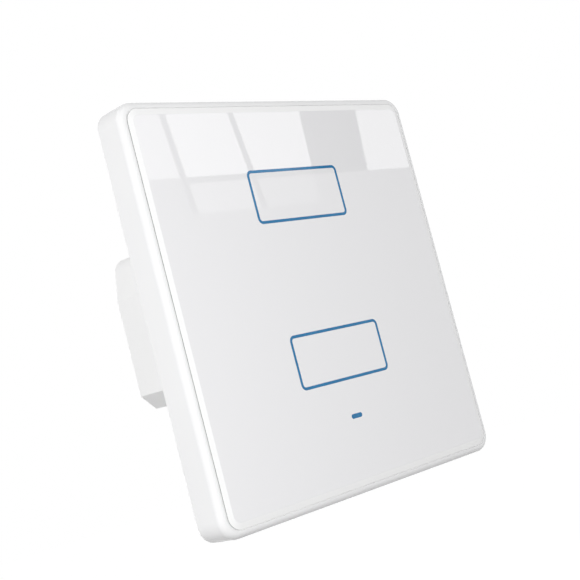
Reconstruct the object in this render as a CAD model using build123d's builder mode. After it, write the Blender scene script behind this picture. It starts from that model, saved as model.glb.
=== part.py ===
from build123d import *
from math import radians, sin
import os

os.makedirs("parts", exist_ok=True)

# A two-gang touch light switch for a square wall box, in millimetres
# X runs to the right, Y into the wall and Z up; the origin is midway between the two box screws,
# on the wall's surface
# A level is a distance from the wall towards the room, and a depth is one from the wall into the box

# Overrun of every cut past the surface it opens
overrun = 1.0

# Front face and bezel frame
panel_width = 86.0
panel_height = 86.0
frame_wall_gap = 0.2
frame_corner_radius = 4.0
frame_side_wall = 1.8
front_lip_level = 7.45
bezel_width = 1.45
bezel_flat = 0.05
web_thickness = 1.75
pry_notch_width = 9.0
pry_notch_height = 1.2

# Glass panel, with its ground edge
glass_proud = 0.35
glass_thickness = 2.0
glass_gap = 0.2
glass_corner_radius = 2.8
ground_edge_width = 1.25
ground_edge_drop = 0.3
tape_thickness = 0.25
tape_margin = 1.0

# Touch outlines and the indicator bar on the glass
outline_width = 27.8
outline_height = 11.55
outline_corner_radius = 1.3
outline_line = 0.65
inlay_depth = 0.3
upper_outline_place = 21.75
lower_outline_place = -13.55
indicator_width = 3.4
indicator_height = 1.0
indicator_place = -27.05

# Light guides, touch pads and lamps behind the glass
guide_wall = 1.6
guide_clearance = 0.35
guide_air_gap = 0.05
touch_pad_width = 20.0
touch_pad_height = 5.6
touch_pad_radius = 0.8
lamp_width = 1.25
lamp_length = 2.0
lamp_height = 0.8
lamp_guide_gap = 0.25
lamp_spread = 4.4
pipe_clearance = 0.2

# Touch board and what it carries on its rear
touch_board_width = 44.0
touch_board_top = 30.5
touch_board_bottom = -31.5
touch_board_thickness = 1.2
touch_board_radius = 1.5
board_screw_inset = 3.2
board_screw_head_radius = 1.6
board_screw_head_height = 0.7
board_screw_radius = 0.8
board_screw_bite = 1.2
board_screw_clearance = 0.1
touch_chip_size = 5.0
touch_chip_height = 0.9
touch_chip_x = 8.0
touch_chip_z = 6.0
passive_length = 1.6
passive_width = 0.8
passive_height = 0.6
passive_pitch = 2.6
passive_rows = 2
passive_columns = 4
passive_x = -7.0
passive_z = 7.0

# Plug connection between the two boards
header_ways = 6
header_pitch = 2.54
header_thickness = 2.5
header_z = -8.4
header_mating_gap = 0.1
socket_height = 8.5
pin_size = 0.64
pin_reach = 6.0
pin_hole_clearance = 0.05
socket_hole_clearance = 0.15
socket_hole_depth = 6.8

# Mounting plate
plate_side_gap = 1.7
plate_end_gap = 3.2
plate_thickness = 1.6
plate_corner_radius = 2.5
plate_recess_depth = 0.4
plate_recess_clearance = 0.15
window_boss_gap = 0.8
window_end_margin = 3.85
window_radius = 2.0
box_slot_inset = 9.35
box_slot_width = 4.2
box_slot_length = 7.2
box_screw_head_room = 4.6
box_screw_head_pocket = 0.9

# Snap tongues of the frame and their catches on the plate
tongue_width = 7.0
tongue_thickness = 1.2
tongue_place = 22.0
tongue_clearance = 0.15
tongue_tip_level = 0.3
barb_undercut = 0.5
barb_height = 0.4
catch_height = 0.8
catch_side_clearance = 0.5
catch_undercut_clearance = 0.25
spacer_width = 8.0
spacer_thickness = 1.2
spacer_side_inset = 5.5
spacer_end_inset = 8.0
spacer_gap = 0.1

# Rear housing in the wall box
housing_half_width = 25.0
housing_top = 19.0
housing_bottom = -14.85
housing_knee = 9.85
housing_top_inset = 1.9
housing_top_radius = 3.5
housing_bottom_chamfer = 3.3
housing_depth = 29.55
housing_wall = 1.6
housing_boss_radius = 2.2
housing_boss_side_inset = 2.8
housing_boss_top_inset = 3.8
housing_boss_bottom_inset = 3.3
housing_screw_radius = 0.95
housing_screw_clearance = 0.2
housing_screw_length = 9.0
housing_screw_head_radius = 2.0
pilot_clearance = 0.05
pilot_spare = 0.6
support_rib_width = 1.2
support_rib_height = 1.4
support_rib_inset = 6.0

# Power board
power_board_depth = 9.0
power_board_thickness = 1.6
power_board_edge_gap = 0.6
power_board_boss_gap = 0.3
power_screw_inset = 2.5
power_screw_z = 2.0
power_boss_radius = 1.9
power_screw_radius = 0.95
power_screw_length = 5.0
power_screw_head_radius = 1.75
power_screw_head_height = 1.3
power_screw_clearance = 0.15
drive_slot_width = 0.5
drive_slot_share = 0.5

# Parts on the room side of the power board
transformer_width = 12.8
transformer_height = 10.4
transformer_depth = 8.2
transformer_z = 6.4
transformer_limb = 2.2
transformer_winding_gap = 0.15
mains_capacitor_radius = 4.0
mains_capacitor_length = 12.0
mains_capacitor_z = 6.6
capacitor_edge_radius = 0.5
output_capacitor_radius = 3.15
output_capacitor_height = 7.0
output_capacitor_z = 10.2
capacitor_groove = 0.25
capacitor_groove_height = 0.8
inductor_radius = 2.7
inductor_core_radius = 1.9
inductor_height = 6.0
inductor_flange = 0.9
inductor_z = 2.2
rectifier_width = 6.4
rectifier_height = 4.4
rectifier_thickness = 2.4
rectifier_z = -3.6
power_chip_width = 5.0
power_chip_height = 4.0
power_chip_thickness = 1.5
power_chip_z = -3.8
driver_chip_width = 5.0
driver_chip_height = 4.0
driver_chip_thickness = 1.5
driver_chip_z = -3.8
varistor_radius = 3.5
varistor_thickness = 3.2
varistor_z = -5.0
chip_leg_width = 0.5
chip_leg_reach = 0.9
chip_leg_thickness = 0.3
chip_leg_pitch = 1.27

# Parts in the strip above the relays
fuse_radius = 1.4
fuse_length = 8.0
fuse_cap_length = 1.6
fuse_cap_wall = 0.15
fuse_x = -9.0
strip_inset = 3.2
film_capacitor_width = 10.0
film_capacitor_thickness = 4.4
film_capacitor_depth = 9.0
film_capacitor_x = 5.6
film_capacitor_radius = 0.5

# Relays
relay_boss_gap = 1.1
relay_width = 10.2
relay_floor_gap = 2.5
relay_wall = 0.7
relay_gap = 0.6
relay_z = 5.7
relay_inner_gap = 0.2
relay_base_thickness = 1.6
relay_base_lift = 0.2
coil_radius = 3.2
coil_barrel_radius = 2.0
coil_flange_thickness = 0.7
armature_room = 5.3
core_radius = 1.3
core_clearance = 0.05
pole_radius = 2.3
pole_thickness = 0.8
yoke_thickness = 1.0
yoke_width = 6.6
armature_thickness = 0.9
armature_width = 6.2
armature_foot_height = 2.0
armature_swing = 5.0
armature_clearance = 0.08
contact_radius = 0.8
contact_thickness = 0.4
contact_height = 2.75
blade_thickness = 0.5
blade_width = 3.0
blade_clearance = 0.1

# Terminals
terminal_count = 4
block_share = 0.845
block_end_wall = 1.1
block_bottom_inset = 0.1
block_relay_gap = 1.0
block_window_gap = 0.15
block_recess = 0.2
block_floor_gap = 0.1
pad_end_inset = 0.5
rear_pad_bottom = -8.6
rear_pad_top = -1.0
bottom_pad_front_reach = 1.5
bottom_pad_rear_reach = 0.9
chamber_wall_share = 0.247
chamber_roof = 0.7
chamber_depth = 7.6
chamber_rear_wall = 3.9
wire_hole_share = 0.293
wire_hole_place = -4.0
wire_funnel = 0.6
tongue_plate_share = 0.586
tongue_plate_thickness = 0.8
tongue_plate_clearance = 0.2
terminal_tongue_bottom = -6.5
clamp_side_gap = 0.3
clamp_face_gap = 0.7
clamp_top_gap = 0.2
clamp_roof = 1.0
clamp_threaded_wall = 1.2
clamp_side_wall = 0.7
clamp_height = 8.6
clamp_travel = 1.5
clamp_end_gap = 0.3
clamp_screw_share = 0.2885
clamp_screw_running_gap = 0.05
clamp_screw_head_share = 0.388
clamp_screw_head_height = 1.7
clamp_screw_head_gap = 0.25
clamp_screw_tip_gap = 0.1
clamp_screw_sink = 0.6
clamp_slot_width = 0.8
clamp_slot_depth = 0.9

# Levels and outlines that follow from the sizes above
glass_front = front_lip_level + glass_proud
glass_rear = glass_front - glass_thickness
web_front = glass_rear - tape_thickness
web_rear = web_front - web_thickness
touch_board_rear = web_rear - touch_board_thickness
pocket_width = panel_width - 2 * bezel_width
pocket_height = panel_height - 2 * bezel_width
glass_width = pocket_width - 2 * glass_gap
glass_height = pocket_height - 2 * glass_gap
plate_width = panel_width - 2 * (frame_side_wall + plate_side_gap)
plate_height = panel_height - 2 * (frame_side_wall + plate_end_gap)
box_screw_spacing = plate_width - 2 * box_slot_inset
spacer_x = plate_width / 2 - spacer_side_inset
spacer_z = plate_height / 2 - spacer_end_inset
guide_width = outline_width - outline_line + guide_wall
guide_height = outline_height - outline_line + guide_wall
guide_inner_width = guide_width - 2 * guide_wall
guide_inner_height = guide_height - 2 * guide_wall
guide_radius = outline_corner_radius + (guide_wall - outline_line) / 2
guide_front = glass_rear - guide_air_gap
outline_places = [(0, upper_outline_place), (0, lower_outline_place)]
board_screw_places = [
    (side * (touch_board_width / 2 - board_screw_inset), height)
    for side in (-1, 1)
    for height in (touch_board_top - board_screw_inset, touch_board_bottom + board_screw_inset)
]
plate_front = plate_thickness
window_place = (housing_top + housing_bottom) / 2
window_height = housing_top - housing_bottom - 2 * window_end_margin
housing_floor = housing_depth - housing_wall
housing_boss_x = housing_half_width - housing_wall - housing_boss_side_inset
housing_boss_top = housing_top - housing_wall - housing_boss_top_inset
housing_boss_bottom = housing_bottom + housing_wall + housing_boss_bottom_inset
window_width = 2 * (housing_boss_x - housing_boss_radius - window_boss_gap)
support_rib_place = housing_boss_x - support_rib_inset
power_screw_x = housing_half_width - housing_wall - power_screw_inset
housing_screw_places = [
    (side * housing_boss_x, height)
    for side in (-1, 1)
    for height in (housing_boss_top, housing_boss_bottom)
]
power_screw_places = [(-power_screw_x, power_screw_z), (power_screw_x, power_screw_z)]
power_board_rear = power_board_depth + power_board_thickness
power_board_top = housing_top - housing_wall - power_board_edge_gap
power_board_bottom = housing_bottom + housing_wall + power_board_edge_gap
power_board_width = 2 * (housing_half_width - housing_wall - power_board_edge_gap)


# Places of a row of pieces of the given widths, spread with equal gaps between two ends
def row_places(start, end, widths):
    gap = (end - start - sum(widths)) / (len(widths) + 1)
    return [
        start + gap + index * gap + sum(widths[:index]) + widths[index] / 2
        for index in range(len(widths))
    ]


# The tall row of the power board lies between its screws, the low row between the lower bosses
tall_row_end = power_screw_x - power_screw_head_radius
transformer_x, mains_capacitor_x, output_capacitor_x = row_places(
    -tall_row_end,
    tall_row_end,
    (transformer_width, 2 * mains_capacitor_radius, 2 * output_capacitor_radius),
)
low_row_end = housing_boss_x - housing_boss_radius
rectifier_x, power_chip_x, driver_chip_x, varistor_x = row_places(
    -low_row_end,
    low_row_end,
    (rectifier_width, power_chip_width, driver_chip_width, 2 * varistor_radius),
)
inductor_x = output_capacitor_x
strip_place = housing_top - housing_wall - strip_inset

# Relay sizes that follow from the room between the power board's screws and the housing's floor
relay_length = power_screw_x - power_boss_radius - relay_boss_gap - relay_gap / 2
relay_height = housing_floor - power_board_rear - relay_floor_gap

# Terminal block sizes that follow from the room below the relays and between the lower bosses
block_width = 2 * (housing_boss_x - housing_boss_radius) * block_share
block_top = relay_z - relay_width / 2 - block_relay_gap
block_bottom = housing_bottom + housing_wall + block_bottom_inset
block_rear = housing_floor - block_floor_gap
pad_width = block_width - 2 * pad_end_inset
pad_rear = housing_depth - block_recess
pad_bottom = housing_bottom + block_recess
terminal_pitch = (block_width - 2 * block_end_wall) / (terminal_count - chamber_wall_share)
chamber_width = terminal_pitch * (1 - chamber_wall_share)
chamber_rear = pad_rear - chamber_rear_wall
chamber_front = chamber_rear - chamber_depth
chamber_middle = (chamber_front + chamber_rear) / 2
chamber_top = block_top - chamber_roof
bottom_pad_front = chamber_front - bottom_pad_front_reach
bottom_pad_rear = chamber_rear + bottom_pad_rear_reach
terminal_places = [
    (index - (terminal_count - 1) / 2) * terminal_pitch for index in range(terminal_count)
]
wire_hole_radius = chamber_width * wire_hole_share
tongue_plate_width = chamber_width * tongue_plate_share
tongue_top = terminal_tongue_bottom + tongue_plate_thickness
clamp_width = chamber_width - 2 * clamp_side_gap
clamp_length = chamber_depth - 2 * clamp_face_gap
clamp_top = chamber_top - clamp_top_gap
clamp_bottom = clamp_top - clamp_height
chamber_bottom = clamp_bottom - clamp_travel - clamp_end_gap
clamp_screw_radius = clamp_width * clamp_screw_share
clamp_screw_head_radius = chamber_width * clamp_screw_head_share
well_radius = clamp_screw_head_radius + clamp_screw_head_gap
screw_head_bottom = pad_bottom + clamp_screw_sink
screw_head_top = screw_head_bottom + clamp_screw_head_height


# A block whose outline is drawn on the wall plane, between two levels
def slab(rear, front, width, height, center=(0, 0), corner=0, mode=Mode.ADD):
    with BuildSketch(Plane.XZ.offset(rear)) as outline:
        with Locations(center):
            if corner:
                RectangleRounded(width, height, corner)
            else:
                Rectangle(width, height)
    extrude(outline.sketch, amount=front - rear, mode=mode)


# A round disc or peg whose axis is square to the wall, between two levels
def disc(rear, front, radius, center=(0, 0), mode=Mode.ADD):
    with BuildSketch(Plane.XZ.offset(rear)) as outline:
        with Locations(center):
            Circle(radius)
    extrude(outline.sketch, amount=front - rear, mode=mode)


# A block whose outline is drawn on a level floor, between two heights; its centre is an x and a depth
def tower(low, high, width, depth, center=(0, 0), mode=Mode.ADD):
    with BuildSketch(Plane.XY.offset(low)) as outline:
        with Locations(center):
            Rectangle(width, depth)
    extrude(outline.sketch, amount=high - low, mode=mode)


# A round upright post between two heights; its centre is an x and a depth
def post(low, high, radius, center=(0, 0), mode=Mode.ADD):
    with BuildSketch(Plane.XY.offset(low)) as outline:
        with Locations(center):
            Circle(radius)
    extrude(outline.sketch, amount=high - low, mode=mode)


# A round bar along X between two places; its centre is a depth and a height
def bar(start, end, radius, center, mode=Mode.ADD):
    with BuildSketch(Plane.YZ.offset(start)) as outline:
        with Locations(center):
            Circle(radius)
    extrude(outline.sketch, amount=end - start, mode=mode)


# A block given by its lowest and highest x, depth and height
def block(low, high, mode=Mode.ADD):
    width = high[0] - low[0]
    depth = high[1] - low[1]
    center = ((low[0] + high[0]) / 2, (low[1] + high[1]) / 2)
    tower(low[2], high[2], width, depth, center, mode)


def save(piece, name):
    piece.part.label = name
    export_step(piece.part, "parts/" + name + ".step")


# Glass panel: a white glass sheet with a ground edge and shallow grooves for the inlays
with BuildPart() as glass_panel:
    slab(glass_rear, glass_front, glass_width, glass_height, corner=glass_corner_radius)
    glass_face = glass_panel.faces().sort_by(Axis.Y)[0]
    chamfer(glass_face.edges(), length=ground_edge_width, length2=ground_edge_drop, reference=glass_face)
    for place in outline_places:
        with BuildSketch(Plane.XZ.offset(glass_front - inlay_depth)) as groove:
            with Locations(place):
                RectangleRounded(outline_width, outline_height, outline_corner_radius)
                RectangleRounded(
                    outline_width - 2 * outline_line,
                    outline_height - 2 * outline_line,
                    outline_corner_radius - outline_line,
                    mode=Mode.SUBTRACT,
                )
        extrude(amount=inlay_depth + overrun, mode=Mode.SUBTRACT)
    with BuildSketch(Plane.XZ.offset(glass_front - inlay_depth)):
        with Locations((0, indicator_place)):
            SlotOverall(indicator_width, indicator_height)
    extrude(amount=inlay_depth + overrun, mode=Mode.SUBTRACT)
save(glass_panel, "glass_panel")

# Touch outlines: blue translucent enamel that fills the grooves flush with the glass
for name, place in zip(("upper_outline", "lower_outline"), outline_places):
    with BuildPart() as outline_inlay:
        with BuildSketch(Plane.XZ.offset(glass_front - inlay_depth)):
            with Locations(place):
                RectangleRounded(outline_width, outline_height, outline_corner_radius)
                RectangleRounded(
                    outline_width - 2 * outline_line,
                    outline_height - 2 * outline_line,
                    outline_corner_radius - outline_line,
                    mode=Mode.SUBTRACT,
                )
        extrude(amount=inlay_depth)
    save(outline_inlay, name)

# Indicator bar: a short blue bar with round ends, low on the glass
with BuildPart() as indicator_bar:
    with BuildSketch(Plane.XZ.offset(glass_front - inlay_depth)):
        with Locations((0, indicator_place)):
            SlotOverall(indicator_width, indicator_height)
    extrude(amount=inlay_depth)
save(indicator_bar, "indicator_bar")

# Panel adhesive: a die-cut sheet of double-sided tape between the glass and the frame's web
with BuildPart() as panel_adhesive:
    slab(
        web_front,
        glass_rear,
        glass_width - 2 * tape_margin,
        glass_height - 2 * tape_margin,
        corner=glass_corner_radius,
    )
    for place in outline_places:
        slab(
            web_front - overrun,
            glass_rear + overrun,
            guide_width + 2 * guide_clearance,
            guide_height + 2 * guide_clearance,
            place,
            guide_radius + guide_clearance,
            Mode.SUBTRACT,
        )
    slab(
        web_front - overrun,
        glass_rear + overrun,
        indicator_width + 2 * pipe_clearance,
        indicator_height + 2 * pipe_clearance,
        (0, indicator_place),
        mode=Mode.SUBTRACT,
    )
save(panel_adhesive, "panel_adhesive")

# Bezel frame: one white moulding with a rounded front rim, a web that carries the glass and the
# board, four snap tongues, four spacers and a notch to pry it off by
with BuildPart() as bezel_frame:
    slab(frame_wall_gap, front_lip_level, panel_width, panel_height, corner=frame_corner_radius)
    lip_face = bezel_frame.faces().sort_by(Axis.Y)[0]
    fillet(lip_face.edges(), radius=bezel_width - bezel_flat)
    slab(
        web_front,
        front_lip_level + overrun,
        pocket_width,
        pocket_height,
        corner=glass_corner_radius + glass_gap,
        mode=Mode.SUBTRACT,
    )
    slab(
        frame_wall_gap - overrun,
        web_rear,
        panel_width - 2 * frame_side_wall,
        panel_height - 2 * frame_side_wall,
        corner=frame_corner_radius - frame_side_wall,
        mode=Mode.SUBTRACT,
    )
    for place in outline_places:
        slab(
            web_rear - overrun,
            web_front + overrun,
            guide_width + 2 * guide_clearance,
            guide_height + 2 * guide_clearance,
            place,
            guide_radius + guide_clearance,
            Mode.SUBTRACT,
        )
    slab(
        web_rear - overrun,
        web_front + overrun,
        indicator_width + 2 * pipe_clearance,
        indicator_height + 2 * pipe_clearance,
        (0, indicator_place),
        mode=Mode.SUBTRACT,
    )
    for side in (-1, 1):
        disc(
            web_rear - overrun,
            web_rear + box_screw_head_pocket,
            box_screw_head_room,
            (side * box_screw_spacing / 2, 0),
            Mode.SUBTRACT,
        )
    for place in board_screw_places:
        disc(
            web_rear - overrun,
            web_rear + board_screw_bite,
            board_screw_radius + pilot_clearance,
            place,
            Mode.SUBTRACT,
        )
    slab(
        frame_wall_gap - overrun,
        frame_wall_gap + pry_notch_height,
        pry_notch_width,
        2 * frame_side_wall + overrun,
        (0, -panel_height / 2),
        mode=Mode.SUBTRACT,
    )
    for side in (-1, 1):
        for end in (-1, 1):
            tongue_inner = plate_height / 2 + tongue_clearance
            slab(
                tongue_tip_level,
                web_rear,
                tongue_width,
                tongue_thickness,
                (side * tongue_place, end * (tongue_inner + tongue_thickness / 2)),
            )
            slab(
                tongue_tip_level,
                tongue_tip_level + barb_height,
                tongue_width,
                barb_undercut,
                (side * tongue_place, end * (tongue_inner - barb_undercut / 2)),
            )
            slab(
                plate_front + spacer_gap,
                web_rear,
                spacer_width,
                spacer_thickness,
                (side * spacer_x, end * spacer_z),
            )
save(bezel_frame, "bezel_frame")

# Light guides: clear acrylic walls that carry the lamps' light to the outlines
for name, place in zip(("upper_light_guide", "lower_light_guide"), outline_places):
    with BuildPart() as light_guide:
        slab(web_rear, guide_front, guide_width, guide_height, place, guide_radius)
        slab(
            web_rear - overrun,
            guide_front + overrun,
            guide_inner_width,
            guide_inner_height,
            place,
            guide_radius - guide_wall / 2,
            Mode.SUBTRACT,
        )
    save(light_guide, name)

# Touch pads: conductive foam that presses on the glass inside each outline
for name, place in zip(("upper_touch_pad", "lower_touch_pad"), outline_places):
    with BuildPart() as touch_pad:
        slab(web_rear, guide_front, touch_pad_width, touch_pad_height, place, touch_pad_radius)
    save(touch_pad, name)

# Lamps: four small LEDs inside each light guide
for name, place in zip(("upper_lamps", "lower_lamps"), outline_places):
    with BuildPart() as lamps:
        for side in (-1, 1):
            for end in (-1, 1):
                lamp_x = side * (guide_inner_width / 2 - lamp_guide_gap - lamp_width / 2)
                slab(
                    web_rear,
                    web_rear + lamp_height,
                    lamp_width,
                    lamp_length,
                    (place[0] + lamp_x, place[1] + end * lamp_spread / 2),
                )
    save(lamps, name)

# Indicator lamp, with a clear pipe that stands on it
with BuildPart() as indicator_lamp:
    slab(web_rear, web_rear + lamp_height, lamp_length, lamp_width, (0, indicator_place))
save(indicator_lamp, "indicator_lamp")
with BuildPart() as indicator_pipe:
    with BuildSketch(Plane.XZ.offset(web_rear + lamp_height)):
        with Locations((0, indicator_place)):
            SlotOverall(indicator_width, indicator_height)
    extrude(amount=guide_front - web_rear - lamp_height)
save(indicator_pipe, "indicator_pipe")

# Touch board: the circuit board screwed to the rear of the frame's web
with BuildPart() as touch_board:
    slab(
        touch_board_rear,
        web_rear,
        touch_board_width,
        touch_board_top - touch_board_bottom,
        (0, (touch_board_top + touch_board_bottom) / 2),
        touch_board_radius,
    )
    for place in board_screw_places:
        disc(
            touch_board_rear - overrun,
            web_rear + overrun,
            board_screw_radius + board_screw_clearance,
            place,
            Mode.SUBTRACT,
        )
save(touch_board, "touch_board")

# Touch board screws: four low-headed self-tapping screws
with BuildPart() as touch_board_screws:
    for place in board_screw_places:
        head_rear = touch_board_rear - board_screw_head_height
        disc(head_rear, touch_board_rear, board_screw_head_radius, place)
        disc(touch_board_rear, web_rear + board_screw_bite, board_screw_radius, place)
        for wide in (True, False):
            slab(
                head_rear - overrun,
                touch_board_rear - board_screw_head_height * drive_slot_share,
                board_screw_head_radius if wide else drive_slot_width,
                drive_slot_width if wide else board_screw_head_radius,
                place,
                mode=Mode.SUBTRACT,
            )
save(touch_board_screws, "touch_board_screws")


# A small chip package on a board, with legs along its two upright sides
def chip(face_level, direction, width, height, thickness, center):
    legs = int((height - chip_leg_width) / chip_leg_pitch) + 1
    near = min(face_level, face_level + direction * thickness)
    slab(near, near + thickness, width, height, center)
    leg_near = min(face_level, face_level + direction * chip_leg_thickness)
    for leg in range(legs):
        leg_height = center[1] + (leg - (legs - 1) / 2) * chip_leg_pitch
        slab(
            leg_near,
            leg_near + chip_leg_thickness,
            width + 2 * chip_leg_reach,
            chip_leg_width,
            (center[0], leg_height),
        )


# Touch chip and the passives beside it
with BuildPart() as touch_chip:
    chip(
        touch_board_rear,
        -1,
        touch_chip_size,
        touch_chip_size,
        touch_chip_height,
        (touch_chip_x, touch_chip_z),
    )
save(touch_chip, "touch_chip")
with BuildPart() as chip_passives:
    for column in range(passive_columns):
        for row in range(passive_rows):
            slab(
                touch_board_rear - passive_height,
                touch_board_rear,
                passive_width,
                passive_length,
                (
                    passive_x + (column - (passive_columns - 1) / 2) * passive_pitch,
                    passive_z + (row - (passive_rows - 1) / 2) * passive_pitch,
                ),
            )
save(chip_passives, "chip_passives")

# Pin header under the touch board, its pins, and the socket on the power board
header_length = header_ways * header_pitch
header_places = [
    ((index - (header_ways - 1) / 2) * header_pitch, header_z) for index in range(header_ways)
]
socket_front = socket_height - power_board_depth
with BuildPart() as pin_header:
    slab(
        socket_front + header_mating_gap,
        touch_board_rear,
        header_length,
        header_thickness,
        (0, header_z),
    )
    for place in header_places:
        slab(
            socket_front - overrun,
            touch_board_rear + overrun,
            pin_size + 2 * pin_hole_clearance,
            pin_size + 2 * pin_hole_clearance,
            place,
            mode=Mode.SUBTRACT,
        )
save(pin_header, "pin_header")
with BuildPart() as header_pins:
    for place in header_places:
        slab(socket_front - pin_reach, touch_board_rear, pin_size, pin_size, place)
save(header_pins, "header_pins")
with BuildPart() as header_socket:
    slab(-power_board_depth, socket_front, header_length, header_thickness, (0, header_z))
    for place in header_places:
        slab(
            socket_front - socket_hole_depth,
            socket_front + overrun,
            pin_size + 2 * socket_hole_clearance,
            pin_size + 2 * socket_hole_clearance,
            place,
            mode=Mode.SUBTRACT,
        )
save(header_socket, "header_socket")


# Outline of the rear housing on the wall plane: sloped shoulders, round top corners and
# bevelled lower corners
def housing_outline():
    shoulder = housing_half_width - housing_top_inset
    with BuildLine() as edge:
        Polyline(
            (-housing_half_width, housing_knee),
            (-housing_half_width, housing_bottom + housing_bottom_chamfer),
            (-housing_half_width + housing_bottom_chamfer, housing_bottom),
            (housing_half_width - housing_bottom_chamfer, housing_bottom),
            (housing_half_width, housing_bottom + housing_bottom_chamfer),
            (housing_half_width, housing_knee),
            (shoulder, housing_top),
            (-shoulder, housing_top),
            close=True,
        )
    return edge.line


def housing_prism(rear, front, growth, mode=Mode.ADD):
    with BuildSketch(Plane.XZ.offset(rear)) as outline:
        add(housing_outline())
        make_face()
        fillet(outline.vertices().group_by(Axis.Y)[-1], radius=housing_top_radius)
        if growth:
            offset(amount=growth, kind=Kind.INTERSECTION)
    extrude(outline.sketch, amount=front - rear, mode=mode)


# Mounting plate: the flat wall plate that the front clips to and the box screws pass through
with BuildPart() as mounting_plate:
    slab(0, plate_front, plate_width, plate_height, corner=plate_corner_radius)
    slab(
        -overrun,
        plate_front + overrun,
        window_width,
        window_height,
        (0, window_place),
        window_radius,
        Mode.SUBTRACT,
    )
    housing_prism(-overrun, plate_recess_depth, plate_recess_clearance, Mode.SUBTRACT)
    with BuildSketch(Plane.XZ.offset(-overrun)):
        with Locations((-box_screw_spacing / 2, 0), (box_screw_spacing / 2, 0)):
            SlotOverall(box_slot_length, box_slot_width)
    extrude(amount=plate_front + 2 * overrun, mode=Mode.SUBTRACT)
    front_planes = [
        Plane(origin=(x, -plate_front, z), x_dir=(1, 0, 0), z_dir=(0, -1, 0))
        for x, z in housing_screw_places
    ]
    with Locations(*front_planes):
        CounterSinkHole(
            radius=housing_screw_radius + housing_screw_clearance,
            counter_sink_radius=housing_screw_head_radius + housing_screw_clearance,
            depth=plate_thickness,
            counter_sink_angle=90,
        )
    for side in (-1, 1):
        for end in (-1, 1):
            catch_depth = barb_undercut - tongue_clearance + catch_undercut_clearance
            slab(
                -overrun,
                catch_height,
                tongue_width + 2 * catch_side_clearance,
                2 * catch_depth,
                (side * tongue_place, end * plate_height / 2),
                mode=Mode.SUBTRACT,
            )
save(mounting_plate, "mounting_plate")

# Rear housing: the deep tub behind the plate, with screw bosses, board supports and two windows
# for the terminal block
with BuildPart() as rear_housing:
    housing_prism(-housing_depth, plate_recess_depth, 0)
    housing_prism(-housing_floor, plate_recess_depth + overrun, -housing_wall, Mode.SUBTRACT)
    for place in housing_screw_places:
        disc(-housing_floor - housing_wall / 2, plate_recess_depth, housing_boss_radius, place)
        disc(
            plate_recess_depth - housing_screw_length - pilot_spare,
            plate_recess_depth + overrun,
            housing_screw_radius + pilot_clearance,
            place,
            Mode.SUBTRACT,
        )
    for place in power_screw_places:
        disc(-housing_floor - housing_wall / 2, -power_board_rear, power_boss_radius, place)
        disc(
            -power_board_rear - power_screw_length,
            -power_board_rear + overrun,
            power_screw_radius + pilot_clearance,
            place,
            Mode.SUBTRACT,
        )
    for side in (-1, 1):
        slab(
            -housing_floor - housing_wall / 2,
            -power_board_rear,
            support_rib_width,
            support_rib_height + housing_wall / 2,
            (
                side * support_rib_place,
                housing_top - housing_wall - support_rib_height / 2 + housing_wall / 4,
            ),
        )
    slab(
        -housing_depth - overrun,
        -housing_floor + overrun,
        pad_width + 2 * block_window_gap,
        rear_pad_top - rear_pad_bottom + 2 * block_window_gap,
        (0, (rear_pad_top + rear_pad_bottom) / 2),
        mode=Mode.SUBTRACT,
    )
    tower(
        housing_bottom - overrun,
        housing_bottom + housing_wall + overrun,
        pad_width + 2 * block_window_gap,
        bottom_pad_rear - bottom_pad_front + 2 * block_window_gap,
        (0, (bottom_pad_rear + bottom_pad_front) / 2),
        mode=Mode.SUBTRACT,
    )
save(rear_housing, "rear_housing")

# Housing screws: four countersunk screws through the plate into the housing's bosses
with BuildPart() as housing_screws:
    for place in housing_screw_places:
        head_depth = housing_screw_head_radius - housing_screw_radius
        disc(plate_recess_depth - housing_screw_length, plate_front, housing_screw_radius, place)
        with BuildSketch(Plane.XZ.offset(plate_front - head_depth)) as neck:
            with Locations(place):
                Circle(housing_screw_radius)
        with BuildSketch(Plane.XZ.offset(plate_front)) as head:
            with Locations(place):
                Circle(housing_screw_head_radius)
        loft([neck.sketch.face(), head.sketch.face()])
        for wide in (True, False):
            slab(
                plate_front - head_depth * drive_slot_share,
                plate_front + overrun,
                housing_screw_head_radius if wide else drive_slot_width,
                drive_slot_width if wide else housing_screw_head_radius,
                place,
                mode=Mode.SUBTRACT,
            )
save(housing_screws, "housing_screws")

# Power board: notched at its corners for the housing's bosses
with BuildPart() as power_board:
    slab(
        -power_board_rear,
        -power_board_depth,
        power_board_width,
        power_board_top - power_board_bottom,
        (0, (power_board_top + power_board_bottom) / 2),
    )
    for x, z in housing_screw_places:
        reach = housing_boss_radius + power_board_boss_gap
        inner_x = abs(x) - reach
        outer_z = power_board_top if z > 0 else power_board_bottom
        inner_z = z - reach if z > 0 else z + reach
        notch_width = power_board_width / 2 - inner_x + overrun
        notch_height = abs(outer_z - inner_z) + overrun
        slab(
            -power_board_rear - overrun,
            -power_board_depth + overrun,
            notch_width,
            notch_height,
            (
                (inner_x + notch_width / 2) * (1 if x > 0 else -1),
                inner_z + notch_height / 2 * (1 if z > 0 else -1),
            ),
            mode=Mode.SUBTRACT,
        )
    for place in power_screw_places:
        disc(
            -power_board_rear - overrun,
            -power_board_depth + overrun,
            power_screw_radius + power_screw_clearance,
            place,
            Mode.SUBTRACT,
        )
save(power_board, "power_board")

# Power board screws: two pan-headed screws into the housing
with BuildPart() as power_board_screws:
    for place in power_screw_places:
        head_front = power_screw_head_height - power_board_depth
        disc(-power_board_depth, head_front, power_screw_head_radius, place)
        disc(
            -power_board_depth - power_screw_length,
            -power_board_depth,
            power_screw_radius,
            place,
        )
        for wide in (True, False):
            slab(
                head_front - power_screw_head_height * drive_slot_share,
                head_front + overrun,
                power_screw_head_radius if wide else drive_slot_width,
                drive_slot_width if wide else power_screw_head_radius,
                place,
                mode=Mode.SUBTRACT,
            )
save(power_board_screws, "power_board_screws")

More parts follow.
